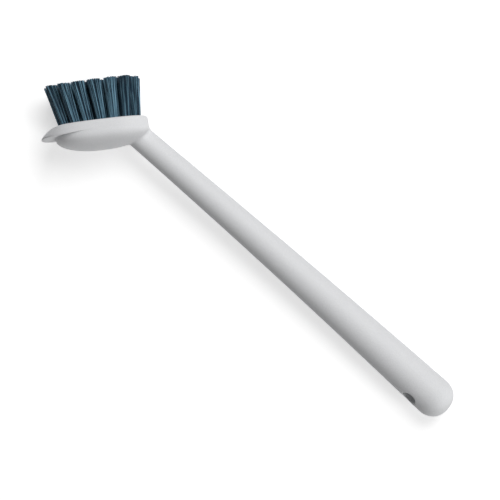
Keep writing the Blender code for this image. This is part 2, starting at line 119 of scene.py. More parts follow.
# Finishes: scales of the grain and of the slow drift, 0 where no drift is used, ends of
# the roughness, depth and strength of the bump, specular level and metallic
Finish = namedtuple("Finish", "name grain drift roughness bump specular metallic")
PLASTIC = Finish("grey_plastic_finish", 2300.0, 0.0, (0.52, 0.64), (0.00005, 0.8), 0.35, 0.0)
BRISTLE = Finish("blue_bristle_finish", 7.0, 2.2, (0.30, 0.42), (0.00002, 0.3), 0.2, 0.0)
STEEL = Finish("anchor_steel_finish", 4200.0, 700.0, (0.26, 0.42), (0.00002, 0.3), 0.5, 1.0)
STEEL_COLOURS = ((0.52, 0.52, 0.54), (0.66, 0.66, 0.67))
DRAWN_SCALE = (1.0, 1.0, 0.2)
NOISE_ENDS = (0.3, 0.7)
WHITE = (1.0, 1.0, 1.0, 1.0)


def metres(name, description, default):
    """A size in metres."""
    return bpy.props.FloatProperty(name=name, description=description, default=default,
                                   min=0.0, precision=5, unit="LENGTH")


def ratio(name, description, default):
    """A plain number."""
    return bpy.props.FloatProperty(name=name, description=description, default=default,
                                   precision=3)


def degrees(name, description, default):
    """An angle, given in degrees."""
    return bpy.props.FloatProperty(name=name, description=description,
                                   default=math.radians(default), subtype="ANGLE")


def whole(name, description, default):
    """A whole number of at least one."""
    return bpy.props.IntProperty(name=name, description=description, default=default, min=1)


def tint(name, description, default):
    """A linear colour."""
    return bpy.props.FloatVectorProperty(name=name, description=description, size=3,
                                         default=default, min=0.0, max=1.0,
                                         subtype="COLOR")


class BrushFieldSettings(bpy.types.PropertyGroup):
    """The tuft field, its sockets and the way the tufts lean."""

    pitch: metres("Pitch", "Distance from one ring of tufts to the next", 0.00662)
    wall: metres("Socket wall", "Plastic left between two sockets", 0.00145)
    depth: metres("Socket depth", "Depth of a socket below the deck", 0.0066)
    mouth: metres("Mouth radius", "Rounding of a socket's mouth", 0.00022)
    lean_front: degrees("Front lean", "Lean of the front tufts", 11.5)
    lean_rear: degrees("Rear lean", "Lean of the rear tufts", -3.4)
    lean_side: degrees("Side lean", "Lean of the outermost tufts", 2.2)
    anchor_low: metres("Anchor clearance", "Socket floor to anchor", 0.0003)
    anchor_height: metres("Anchor height", "Height of an anchor", 0.0016)


class BrushMouldingSettings(bpy.types.PropertyGroup):
    """Sizes and finish of the one-piece head, scraper and handle."""

    past_front: metres("Deck front", "Deck beyond the front sockets", 0.00225)
    past_rear: metres("Deck rear", "Deck beyond the rear sockets", 0.0021)
    past_side: metres("Deck side", "Deck beyond the side sockets", 0.0017)
    scraper_reach: metres("Scraper reach", "Deck's edge to scraper tip", 0.00785)
    scraper_overhang: metres("Overhang", "Dome's edge to scraper tip", 0.0076)
    flare: metres("Brim flare", "Widening of the band downwards", 0.0013)
    band: metres("Band height", "Deck to the dome's widest ring", 0.0062)
    lip: metres("Lip thickness", "Thickness of the scraper's lip", 0.0007)
    lip_radius: metres("Lip radius", "Rounding under the lip", 0.0003)
    underside: metres("Underside", "Deck to the brim's underside", 0.0047)
    slant: degrees("Underside slant", "Fall of the underside to its tip", 2.2)
    arch: ratio("Scraper arch", "How evenly the scraper's top falls", 0.25)
    dome: metres("Dome depth", "Depth of the domed underside", 0.0084)
    tilt: degrees("Handle tilt", "Handle below the plane of the deck", 48.9)
    length: metres("Handle length", "Neck to the round end", 0.2229)
    neck: metres("Neck radius", "Handle's radius at the neck", 0.00673)
    end: metres("End radius", "Handle's radius at its end", 0.01107)
    bow: metres("Handle bow", "Rise of the handle's middle", 0.0009)
    blend: metres("Neck blend", "Rounding between head and handle", 0.0020)
    run: metres("Neck run", "Stretch of handle that the blend takes", 0.0100)
    hole_from_end: metres("Hole place", "Handle's end to the hole", 0.0203)
    hole: metres("Hole radius", "Radius of the hanging hole", 0.0046)
    hole_rim: metres("Hole rim", "Rounding of the hole's rims", 0.0005)
    hole_patch: metres("Hole patch", "Reach of the mesh round the hole", 0.0082)
    colour: tint("Plastic", "Colour of the moulding", (0.775, 0.781, 0.794))
    shade: tint("Plastic shade", "Colour in the grain's low spots", (0.665, 0.671, 0.684))


class BrushTuftSettings(bpy.types.PropertyGroup):
    """Filaments of the tufts."""

    strands: whole("Filaments", "Filaments in a tuft", 150)
    radius: metres("Filament radius", "Half a filament's thickness", 0.00020)
    gap: metres("Socket gap", "Clearance between tuft and socket", 0.00006)
    trim: metres("Trim height", "Deck to the trimmed tips", 0.0222)
    trim_tilt: degrees("Trim tilt", "Fall of the trim to the front", 0.9)
    end_trim: metres("End trim", "Front tufts longer, rear ones shorter", 0.0005)
    uneven: metres("Uneven trim", "How much shorter a filament may be", 0.00045)
    root: metres("Root depth", "Depth of the filaments in the sockets", 0.0045)
    flare: ratio("Flare", "Widening of a tuft from deck to tips", 0.50)
    taper: ratio("Taper", "How much thinner a filament is at its tip", 0.10)
    stray: metres("Stray", "Sideways wander of a filament's tip", 0.00032)
    locks: whole("Locks", "Locks that a tuft falls into", 9)
    lock_pull: ratio("Lock pull", "How far filaments lean into a lock", 0.26)
    table_gap: metres("Table gap", "Clearance over the table", 0.00004)
    seed: whole("Seed", "Start of the random numbers", 11)
    dark: tint("Dark filament", "Darkest filaments", (0.003, 0.022, 0.042))
    light: tint("Light filament", "Lightest filaments", (0.220, 0.420, 0.550))


class BrushStageSettings(bpy.types.PropertyGroup):
    """Camera, lamps and floor."""

    distance: metres("Camera distance", "Camera above the table", 1.315)
    aim_height: metres("Aim height", "Height at which the frame is measured", 0.015)
    frame_width: metres("Frame width", "Width seen at the aim height", 0.2715)
    aim_x: ratio("Aim X", "Point under the camera, along the handle", 0.0015)
    aim_y: ratio("Aim Y", "Point under the camera, across the handle", -0.0003)
    roll: degrees("Roll", "Turn of the picture about the view", 41.495)
    lamp_distance: metres("Lamp distance", "Each lamp to the brush", 1.6)
    lamp_tilt: degrees("Lamp tilt", "Lean of the main lamp from overhead", 37.0)
    lamp_turn: degrees("Lamp turn", "From the handle's way to the lamp's", 104.0)
    lamp_size: metres("Lamp size", "Side of the main lamp", 1.20)
    lamp_level: ratio("Lamp level", "Light of the main lamp on the brush", 0.83)
    side_tilt: degrees("Side lamp tilt", "Lean of the side lamp from overhead", 65.0)
    side_turn: degrees("Side lamp turn", "From the handle's way to the side lamp's", 0.0)
    side_size: metres("Side lamp size", "Side of the side lamp", 0.9)
    side_level: ratio("Side lamp level", "Light of the side lamp on the brush", 0.42)
    room_level: ratio("Room level", "Light from all round", 0.07)
    floor_glow: ratio("Floor glow", "White that the camera sees added", 0.57)
    glow_near: metres("Glow near", "Where the glow starts to grow to white", 0.4)
    glow_far: metres("Glow far", "Where the glow is white", 1.8)
    floor_side: metres("Floor side", "Side of the square floor", 8.0)
    floor: tint("Floor", "Colour of the floor", (0.74, 0.74, 0.74))


class BrushSettings(bpy.types.PropertyGroup):
    """All settings of the brush and its studio."""

    field: bpy.props.PointerProperty(type=BrushFieldSettings)
    moulding: bpy.props.PointerProperty(type=BrushMouldingSettings)
    tufts: bpy.props.PointerProperty(type=BrushTuftSettings)
    stage: bpy.props.PointerProperty(type=BrushStageSettings)


def settings():
    """The brush's settings in the current scene."""
    return bpy.context.scene.kitchen_brush


# Shape functions shared by the moulding and the tufts


def smooth_step(value):
    """Ease from 0 to 1: three times the square less twice the cube."""
    value = np.clip(value, 0.0, 1.0)
    return value * value * (3.0 - 2.0 * value)


def fade(angles, shares):
    """Ease from 0 to 1 as the cosine of the angle runs from one share to the other."""
    return smooth_step((np.cos(angles) - shares[0]) / (shares[1] - shares[0]))


def oval(angles, size, power):
    """Superellipse: cosine and sine to the power 2/n, with unlike front and rear reach."""
    front, rear, half_width = size
    cosine = np.cos(angles)
    sine = np.sin(angles)
    reach = np.where(cosine > 0.0, front, rear)
    x = reach * np.sign(cosine) * np.abs(cosine) ** (2.0 / power)
    y = half_width * np.sign(sine) * np.abs(sine) ** (2.0 / power)
    return np.stack([x, y], axis=-1)


def quarter_oval(turn, power):
    """Quarter superellipse: cosine and sine to the power 2/n, of angles up to a quarter."""
    return np.maximum(np.cos(turn), 0.0) ** (2.0 / power), np.sin(turn) ** (2.0 / power)


def full_turn(count):
    """Evenly spaced angles of a full turn."""
    return np.linspace(0.0, 2.0 * math.pi, count, endpoint=False)


def level_circle(angles):
    """Points at angles of the unit circle in the level plane."""
    return np.stack([np.cos(angles), np.sin(angles), np.zeros(angles.shape)], axis=-1)


def oval_share(points, size, power):
    """Share of the way to the oval's edge: the n-th root of the summed n-th powers."""
    front, rear, half_width = size
    reach = np.where(points[..., 0] > 0.0, front, rear)
    return (np.abs(points[..., 0] / reach) ** power
            + np.abs(points[..., 1] / half_width) ** power) ** (1.0 / power)


def socket_radius(field):
    """Half of what the wall between two sockets leaves of the pitch."""
    return (field.pitch - field.wall) / 2.0


def field_size(field, rings_out):
    """Half length and half width of the ring that lies so many pitches out."""
    middle = field.pitch * (MIDDLE_COUNT - 1) / 2.0
    return middle + rings_out * field.pitch, rings_out * field.pitch


def ring_places(field, rings_out, count):
    """Places at even steps of arc length round a superellipse, the first at its front."""
    length, width = field_size(field, rings_out)
    angles = np.linspace(0.0, 2.0 * math.pi, RING_SAMPLES)
    line = oval(angles, (length, length, width), FIELD_POWER)
    steps = np.linalg.norm(np.diff(line, axis=0), axis=1)
    travelled = np.concatenate([[0.0], np.cumsum(steps)])
    wanted = np.arange(count) * travelled[-1] / count
    x = np.interp(wanted, travelled, line[:, 0])
    y = np.interp(wanted, travelled, line[:, 1])
    return np.column_stack([x, y])


def tuft_places(field):
    """Names and plan places of all tufts: an outer ring, an inner ring and a row."""
    names = [f"outer_{number:02d}" for number in range(1, OUTER_COUNT + 1)]
    names += [f"inner_{number:02d}" for number in range(1, INNER_COUNT + 1)]
    names += [f"middle_{number}" for number in range(1, MIDDLE_COUNT + 1)]
    row = (np.arange(MIDDLE_COUNT) - (MIDDLE_COUNT - 1) / 2.0) * field.pitch
    places = np.concatenate([ring_places(field, 2, OUTER_COUNT),
                             ring_places(field, 1, INNER_COUNT),
                             np.column_stack([row, np.zeros(MIDDLE_COUNT)])])
    return names, places


def tuft_turns(field, places):
    """A rotation for every place that turns +Z to its tuft's axis by the shortest way.

    The forward lean follows the sine of a quarter turn over the field's half length, and
    the sideways lean grows evenly with the distance from the middle line.
    """
    length, width = field_size(field, 2)
    middle = (field.lean_front + field.lean_rear) / 2.0
    swing = (field.lean_front - field.lean_rear) / 2.0
    share = np.clip(places[:, 0] / length, -1.0, 1.0)
    forward = middle + swing * np.sin(share * math.pi / 2.0)
    sideways = field.lean_side * places[:, 1] / width
    axis = np.column_stack([np.tan(forward), np.tan(sideways), np.ones(len(places))])
    axis /= np.linalg.norm(axis, axis=1)[:, None]
    x, y, z = axis.T
    lean = 1.0 / (1.0 + z)
    return np.stack([np.stack([1.0 - x * x * lean, -x * y * lean, x], axis=-1),
                     np.stack([-x * y * lean, 1.0 - y * y * lean, y], axis=-1),
                     np.stack([-x, -y, z], axis=-1)], axis=1)


def head_placement(field):
    """Rotation and shift from the head frame to the model's frame.

    The anchors' middles are known in both: the best rigid fit of one set on the other
    comes from the singular vectors of their summed products.
    """
    names, places = tuft_places(field)
    turns = tuft_turns(field, places)
    height = -field.depth + field.anchor_low + field.anchor_height / 2.0
    here = np.column_stack([places, np.zeros(len(places))]) + turns[:, :, 2] * height
    boxes = [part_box("anchor_" + name) for name in names]
    there = np.array([(low + high) / 2.0 for low, high in boxes])
    middle_here = here.mean(axis=0)
    middle_there = there.mean(axis=0)
    left, _, right = np.linalg.svd((here - middle_here).T @ (there - middle_there))
    flip = np.sign(np.linalg.det(right.T @ left.T))
    turn = right.T @ np.diag([1.0, 1.0, flip]) @ left.T
    shift = middle_there - turn @ middle_here
    error = np.abs(here @ turn.T + shift - there).max()
    if error > ANCHOR_FIT:
        raise RuntimeError(f"the anchors don't fit their places by {error:.6f} m")
    return turn, shift


def placed(points, placement):
    """Points of the head frame in the model's frame."""
    turn, shift = placement
    return points @ turn.T + shift


# The moulding


class Moulding:
    """Head, scraper and handle as functions of an angle round them and a way along."""

    def __init__(self, field, size):
        self.size = size
        length, width = field_size(field, 2)
        edge = socket_radius(field)
        deck = (length + edge + size.past_front, length + edge + size.past_rear,
                width + edge + size.past_side)
        brim = (deck[0] + size.scraper_reach, deck[1] + size.flare, deck[2] + size.flare)
        self.deck_size = deck
        self.brim_size = brim
        self.dome_size = (brim[0] - size.scraper_overhang, brim[1], brim[2])
        self.along = np.array([-math.cos(size.tilt), 0.0, -math.sin(size.tilt)])
        self.under = np.array([math.sin(size.tilt), 0.0, -math.cos(size.tilt)])
        self.across = np.array([0.0, 1.0, 0.0])
        self.hole_turn = HOLE_TURN_COLUMNS * 2.0 * math.pi / AROUND
        self.start = np.array([-brim[1], 0.0, -size.band]) + size.neck * self.under

    def underside(self, x):
        """Depth of the brim's flat underside, which slants down to the scraper's tip."""
        return self.size.underside + x * math.tan(self.size.slant)

    def brim_depth(self, x):
        """Depth of the brim's lower edge: a lip's thickness above its underside."""
        return self.underside(x) - self.size.lip

    def middle(self, distance):
        """Middle of the handle: a straight line raised by half a sine wave."""
        share = np.clip(distance / self.size.length, 0.0, 1.0)
        bow = self.size.bow * np.sin(math.pi * share)
        return self.start + distance[..., None] * self.along - bow[..., None] * self.under

    def radius(self, distance):
        """Radius of the handle: a slightly hollow taper up to where its round end starts."""
        share = np.clip(distance / (self.size.length - self.size.end), 0.0, 1.0)
        return self.size.neck + (self.size.end - self.size.neck) * share ** TAPER_POWER

    def skin(self, distance, angles):
        """The handle's side: its middle plus a turning spoke, angle 0 underneath."""
        spoke = np.cos(angles)[..., None] * self.under + np.sin(angles)[..., None] * self.across
        return self.middle(distance) + self.radius(distance)[..., None] * spoke

    def head_distance(self, points):
        """Reach from the head's middle times how far its size share passes one.

        Above the brim's edge the outline is the band's, a quarter superellipse in profile.
        """
        front, rear, width = self.dome_size
        down = np.clip(-points[..., 2] / self.brim_depth(points[..., 0]), 0.0, 1.0)
        out = (1.0 - (1.0 - down) ** BRIM_POWER) ** (1.0 / BRIM_POWER)
        inset = self.size.flare * (1.0 - out)
        share = oval_share(points, (front - inset, rear - inset, width - inset), OUTLINE_POWER)
        below = np.maximum(-self.size.band - points[..., 2], 0.0)
        size = np.maximum(np.sqrt(share ** 2 + (below / self.size.dome) ** 2), LEAST_SIZE)
        reach = np.sqrt(points[..., 0] ** 2 + points[..., 1] ** 2 + below ** 2)
        return reach * (1.0 - 1.0 / size)

    def handle_distance(self, points):
        """Distance from the handle's middle less its radius there."""
        distance = (points - self.start) @ self.along
        away = np.linalg.norm(points - self.middle(distance), axis=-1)
        return away - self.radius(distance)

    def neck_distance(self, points):
        """The lesser of both distances, less a square that rounds where they are alike."""
        head = self.head_distance(points)
        handle = self.handle_distance(points)
        blend = self.size.blend
        overlap = np.maximum(blend - np.abs(head - handle), 0.0) / blend
        return np.minimum(head, handle) - overlap ** 2 * blend / 4.0

    def hole_distance(self, points):
        """The greater of the handle's distance and the bore's depth, rounded alike.

        The bore runs across the handle and is turned round it, with its near mouth up.
        """
        place = points - self.middle(np.array([self.hole_place()]))[0]
        aside = math.cos(self.hole_turn) * self.across - math.sin(self.hole_turn) * self.under
        from_axis = np.hypot(place @ self.along, place @ aside)
        bore = self.size.hole - from_axis
        handle = self.handle_distance(points)
        rim = self.size.hole_rim
        overlap = np.maximum(rim - np.abs(bore - handle), 0.0) / rim
        return np.maximum(bore, handle) + overlap ** 2 * rim / 4.0

    def hole_place(self):
        """Distance along the handle of the hanging hole."""
        return self.size.length - self.size.hole_from_end

    def settle_near_handle(self, points):
        """Settle those points that lie where the head is rounded into the handle."""
        near = self.handle_distance(points) < self.size.blend
        return np.where(near[..., None], settle(points, self.neck_distance), points)

    def brim_rings(self, angles):
        """Rings down the band and under its lip.

        The band's profile is a quarter superellipse from the deck's edge to the brim's
        edge. At the scraper's tip it eases into a parabola that runs out evenly and falls
        ever more steeply. A quarter turn then rounds the lip, and the last rings cross the
        flat underside to the dome.
        """
        size = self.size
        weight = fade(angles, OVERHANG_SHARES)
        deck, brim, dome = [oval(angles, reach, OUTLINE_POWER) for reach in
                            (self.deck_size, self.brim_size, self.dome_size)]
        tip = fade(angles, SCRAPER_TIP_SHARES)
        edge = self.brim_depth(brim[:, 0])
        share = np.linspace(0.0, 1.0, WALL_RINGS + 1)[:, None]
        upright, out = quarter_oval(share * math.pi / 2.0, BRIM_POWER)
        down = 1.0 - upright
        fall = size.arch * share + (1.0 - size.arch) * share ** 2
        out = out + (share - out) * tip
        down = down + (fall - down) * tip
        wall = join_plan(deck + (brim - deck) * out[..., None], -edge * down)
        overhang = np.linalg.norm(brim - dome, axis=1)
        inward = np.minimum(size.lip_radius, overhang / 2.0)
        inward = inward / np.maximum(overhang, size.lip_radius)
        turn = np.linspace(0.0, math.pi / 2.0, LIP_RINGS + 1)[1:, None]
        plan = brim + (dome - brim) * (inward * (1.0 - np.cos(turn)))[..., None]
        thick = (self.underside(plan[..., 0]) - edge) * (1.0 + weight) / 2.0
        lip = join_plan(plan, -edge - thick * np.sin(turn))
        step = np.linspace(0.0, 1.0, UNDERSIDE_RINGS + 1)[1:-1, None, None]
        last = join_plan(dome, -self.underside(dome[:, 0]))
        under = lip[-1] + (last - lip[-1]) * step
        return self.settle_near_handle(np.concatenate([wall, lip, under]))

    def where_handle_leaves(self, angles):
        """Distance, for each angle, at which the handle leaves the head, by halving."""
        inner = np.full(angles.shape, -(self.size.neck + self.size.dome))
        outer = -inner
        for _ in range(HALVING_STEPS):
            middle = (inner + outer) / 2.0
            inside = self.head_distance(self.skin(middle, angles)) < 0.0
            inner = np.where(inside, middle, inner)
            outer = np.where(inside, outer, middle)
        return inner

    def neck_rings(self, angles):
        """Rings from the brim over the dome and out along the handle's first stretch.

        A path for each angle runs over the dome and along the handle. It is settled where
        the blended distance is zero and cut in even steps.
        """
        size = self.size
        edge = oval(angles, self.dome_size, OUTLINE_POWER)
        leaves = self.where_handle_leaves(angles)
        inner = self.skin(leaves, angles)[:, :2]
        start = self.underside(edge[:, 0])
        share = np.linspace(0.0, 1.0, WALL_POINTS, endpoint=False)[:, None]
        depth = start + (size.band - start) * share
        wall = join_plan(np.broadcast_to(edge, depth.shape + (2,)), -depth)
        share = np.linspace(0.0, 1.0, PATH_POINTS, endpoint=False)[:, None]
        plan = edge + (inner - edge) * (1.0 - np.cos(share * math.pi / 2.0))[..., None]
        rise = np.maximum(1.0 - oval_share(plan, self.dome_size, OUTLINE_POWER) ** 2, 0.0)
        dome = join_plan(plan, -(size.band + size.dome * np.sqrt(rise)))
        out = leaves + (size.run - leaves) * np.linspace(0.0, 1.0, PATH_POINTS)[:, None]
        shaft = self.skin(out, np.broadcast_to(angles, out.shape))
        paths = np.concatenate([wall, dome, shaft]).transpose(1, 0, 2)
        settled = settle(paths, self.neck_distance)
        return even_steps(settled, NECK_RINGS).transpose(1, 0, 2)

    def shaft_distances(self):
        """Distances of the handle's rings, with even ones where the hole's patch lies."""
        patch = self.size.hole_patch
        place = self.hole_place()
        end = self.size.length - self.size.end
        before = np.linspace(self.size.run, place - patch, SHAFT_RINGS + 1)[1:]
        beside = np.linspace(place - patch, place + patch, HOLE_RINGS + 1)[1:]
        after = np.array([end]) if end > place + patch else np.array([])
        return np.concatenate([before, beside, after])

    def cap_rings(self, ring):
        """Rings over the round end: a quarter superellipse from the last ring to the tip."""
        distance = self.size.length - self.size.end
        middle = self.middle(np.array([distance]))[0]
        reach = self.along * self.size.end
        turn = np.linspace(0.0, math.pi / 2.0, CAP_RINGS + 1)[1:-1, None, None]
        wide, out = quarter_oval(turn, END_POWER)
        return middle + (ring - middle) * wide + reach * out, middle + reach

    def hole_sleeve(self, distances, columns):
        """A sleeve from the skin round one mouth, through the bore, to the other mouth.

        Each path runs straight in distance and angle from the patch's border to the
        bore's edge, down the bore, and back out as its mirror image. It is settled where
        the rounded difference of handle and bore is zero. Angles count from the bore's
        turn round the handle.
        """
        turn = np.arctan2(self.radius(distances) * np.sin(columns),
                          distances - self.hole_place())
        edge_distance = self.hole_place() + self.size.hole * np.cos(turn)
        edge_radius = self.radius(edge_distance)
        edge_angle = np.arcsin(self.size.hole * np.sin(turn) / edge_radius)
        share = np.linspace(0.0, 1.0, PATH_POINTS, endpoint=False)[:, None]
        distances = distances + (edge_distance - distances) * share
        columns = columns + (edge_angle - columns) * share
        near, far = [self.skin(distances, self.hole_turn + side)
                     for side in (columns, math.pi - columns)]
        near_edge, far_edge = [self.skin(edge_distance, self.hole_turn + side)
                               for side in (edge_angle, math.pi - edge_angle)]
        down = np.linspace(0.0, 1.0, 2 * PATH_POINTS)[:, None, None]
        bore = near_edge + (far_edge - near_edge) * down
        paths = np.concatenate([near, bore, far[::-1]]).transpose(1, 0, 2)
        settled = settle(paths, self.hole_distance)
        settled[:, [0, -1]] = paths[:, [0, -1]]
        return even_steps(settled, HOLE_LOOP_RINGS + 1).transpose(1, 0, 2)


def join_plan(plan, height):
    """Plan points and their heights as one array of points."""
    return np.concatenate([plan, np.broadcast_to(height, plan.shape[:-1])[..., None]], axis=-1)


def settle(points, distance):
    """Move points along the slope of a distance until it is zero, by Newton steps."""
    shifts = np.eye(3) * SLOPE_STEP
    for _ in range(PROJECTION_STEPS):
        value = distance(points)
        rise = np.stack([distance(points + shift) - value for shift in shifts], axis=-1)
        slope = rise / SLOPE_STEP
        size = np.maximum(np.sum(slope ** 2, axis=-1), LEAST_SLOPE)
        points = points - (value / size)[..., None] * slope
    return points


def even_steps(paths, count):
    """Each path cut again at even steps of its length, both ends included.

    The shares travelled are set two apart from path to path, so one call reads them all.
    """
    start = np.arange(len(paths))[:, None] * 2.0
    lengths = np.linalg.norm(np.diff(paths, axis=1), axis=-1)
    travelled = np.concatenate([np.zeros((len(paths), 1)), np.cumsum(lengths, axis=1)], axis=1)
    travelled = travelled / travelled[:, -1:] + start
    wanted = np.linspace(0.0, 1.0, count) + start
    flat = [np.interp(wanted.ravel(), travelled.ravel(), paths[..., axis].ravel())
            for axis in range(3)]
    return np.stack(flat, axis=-1).reshape(len(paths), count, 3)


def grid_faces(upper, lower):
    """Quads between index rings, each ring closed on itself."""
    return np.stack([lower, np.roll(lower, -1, axis=-1), np.roll(upper, -1, axis=-1), upper],
                    axis=-1).reshape(-1, 4)


def patch_border(rows, columns):
    """Row and column steps round a patch, from the middle of its far side and round.

    The list is its own mirror image in the columns, so the two mouths of the hole match.
    """
    side = np.arange(1, rows)
    half = np.arange(0, columns + 1)
    row = np.concatenate([np.full(columns + 1, rows), side[::-1], np.full(2 * columns + 1, 0),
                          side, np.full(columns, rows)])
    column = np.concatenate([half, np.full(rows - 1, columns), np.arange(columns, -columns - 1, -1),
                             np.full(rows - 1, -columns), np.arange(-columns, 0)])
    return row, column


def deck_triangles(outline, mouths):
    """Triangles of the flat deck between its outline and the mouths of the sockets.

    The triangulation fills the mouths too, so triangles with all corners on one go.
    """
    loops = [outline] + list(mouths)
    points = np.concatenate(loops)
    edges = []
    first = 0
    for loop in loops:
        index = np.arange(len(loop)) + first
        edges += np.column_stack([index, np.roll(index, -1)]).tolist()
        first += len(loop)
    plan = [Vector(point[:2]) for point in points.tolist()]
    _, _, faces, origin, _, _ = delaunay_2d_cdt(plan, edges, [], TRIANGLE_KIND, SAME_POINT)
    corners = np.array([[origin[corner][0] for corner in face] for face in faces])
    owner = np.repeat(np.arange(len(loops)), [len(loop) for loop in loops])[corners]
    in_mouth = (owner[:, 0] > 0) & (owner == owner[:, :1]).all(axis=1)
    return corners[~in_mouth]


def socket_rings(field, places):
    """Rings of every socket: a rounded mouth and the wall down to the floor's edge.

    Each ring is the circle round the tuft's axis, slid along that axis into a level plane,
    so the mouth lies in the deck although the socket leans.
    """
    radius = socket_radius(field)
    turn = np.linspace(0.0, math.pi / 2.0, MOUTH_RINGS)
    wide = np.concatenate([radius + field.mouth * (1.0 - np.sin(turn)), [radius, radius]])
    level = np.concatenate([-field.mouth * (1.0 - np.cos(turn)),
                            [-field.depth / 2.0, -field.depth]])
    turns = tuft_turns(field, places)
    spokes = np.einsum("tij,aj->tai", turns, level_circle(full_turn(SOCKET_SIDES)))
    axes = turns[:, :, 2]
    rings = wide[None, :, None, None] * spokes[:, None]
    lift = (level[None, :, None] - rings[..., 2]) / axes[:, None, None, 2]
    rings = rings + lift[..., None] * axes[:, None, None]
    rings[..., :2] += places[:, None, None]
    return rings


def moulding_arrays(field, size):
    """Vertices and faces of the moulding as one closed skin in the head frame.

    Rings of points round the head, the handle and its end are joined in quads. The hole's
    sleeve, the sockets and the deck are joined on by the corners that they share.
    """
    form = Moulding(field, size)
    angles = full_turn(AROUND)
    distances = form.shaft_distances()
    every = np.ones((len(distances), AROUND))
    shaft = form.skin(distances[:, None] * every, angles * every)
    cap, tip = form.cap_rings(shaft[-1])
    head = np.concatenate([form.brim_rings(angles), form.neck_rings(angles)])
    rings = np.concatenate([head, shaft, cap])
    index = np.arange(len(rings) * AROUND).reshape(len(rings), AROUND)

    # The skin, open where the two mouths of the hanging hole lie
    first = len(head) + SHAFT_RINGS - 1
    half = AROUND // 2
    rows = np.repeat(np.arange(len(rings) - 1), AROUND)
    columns = np.tile(np.arange(AROUND), len(rings) - 1) - HOLE_TURN_COLUMNS
    columns = (columns + half // 2) % half - half // 2
    beside = (rows >= first) & (rows < first + HOLE_RINGS)
    mouth = beside & (columns >= -HOLE_COLUMNS) & (columns < HOLE_COLUMNS)
    quads = grid_faces(index[:-1], index[1:])[~mouth]

    # The sleeve of the hanging hole, joined to the skin at both borders
    row, column = patch_border(HOLE_RINGS, HOLE_COLUMNS)
    turn = column * 2.0 * math.pi / AROUND
    sleeve = form.hole_sleeve(distances[SHAFT_RINGS - 1 + row], turn)[1:-1]
    inside = np.arange(sleeve.size // 3).reshape(sleeve.shape[:2]) + index.size
    near = (HOLE_TURN_COLUMNS + column) % AROUND
    far = (HOLE_TURN_COLUMNS + half - column) % AROUND
    inside = np.concatenate([index[first + row, near][None], inside,
                             index[first + row, far][None]])
    sleeve_quads = grid_faces(inside[:-1], inside[1:])[:, ::-1]

    # The sockets, the deck between their mouths and the handle's round end
    sockets = socket_rings(field, tuft_places(field)[1])
    vertices = np.concatenate([rings.reshape(-1, 3), sleeve.reshape(-1, 3), tip[None]])
    tip_index = np.full(AROUND, len(vertices) - 1)
    socket_index = np.arange(sockets.size // 3).reshape(sockets.shape[:3]) + len(vertices)
    socket_quads = grid_faces(socket_index[:, :-1], socket_index[:, 1:])[:, ::-1]
    deck_index = np.concatenate([index[0], socket_index[:, 0].ravel()])
    deck = deck_index[deck_triangles(rings[0], sockets[:, 0])]
    end = np.column_stack([np.roll(index[-1], -1), index[-1], tip_index])
    vertices = np.concatenate([vertices, sockets.reshape(-1, 3)])
    faces = [quads, sleeve_quads, socket_quads, socket_index[:, -1], deck, end]
    return vertices, [face for part in faces for face in part.tolist()]


# The tufts


def strand_centres(field, tufts, turn, place, random):
    """Middle lines of a tuft's filaments in the tuft's own frame, and their heights.

    At the deck the filaments fill the socket as seeds fill a sunflower: the radius grows
    with the root of the number and the angle by the golden turn. Going up, the bundle
    widens evenly, each filament wanders with the square of the height, and near ones
    lean together in locks. Each ends where the leaning tuft meets the trim: a slanting
    plane, lifted in front and lowered behind by the fifth power of the way from the
    field's middle to its end, which is one at most.
    """
    count = tufts.strands
    number = np.arange(count)
    reach = socket_radius(field) - tufts.gap - tufts.radius
    away = reach * np.sqrt((number + 0.5) / count)
    angle = number * GOLDEN_TURN + random.uniform(0.0, 2.0 * math.pi)
    root = away[:, None] * np.column_stack([np.cos(angle), np.sin(angle)])
    wide = root * (1.0 + tufts.flare)
    locks = wide[random.choice(count, tufts.locks, replace=False)]
    nearest = np.argmin(np.linalg.norm(wide[:, None] - locks, axis=-1), axis=1)
    drift = (locks[nearest] - wide) * tufts.lock_pull
    drift = drift + random.normal(0.0, tufts.stray, (count, 2))
    drift = drift + random.normal(0.0, tufts.stray / 2.0, 2)
    tip = wide + drift
    slope = math.tan(tufts.trim_tilt)
    rise = turn[2] + slope * turn[0]
    share = np.minimum((place[0] + tip[:, 0]) / field_size(field, 2)[0], 1.0)
    trim = tufts.trim - slope * place[0] + tufts.end_trim * share ** END_TRIM_POWER
    trim = trim - tufts.uneven * random.random(count) ** 2
    top = (trim - tip @ rise[:2]) / rise[2]
    height = -tufts.root + (top[:, None] + tufts.root) * np.array(STRAND_LEVEL_SHARES)
    up = np.clip(height / top[:, None], 0.0, 1.0)[..., None]
    plan = root[:, None] * (1.0 + tufts.flare * up) + drift[:, None] * up ** 2
    return np.concatenate([plan, height[..., None]], axis=-1), up[..., 0]


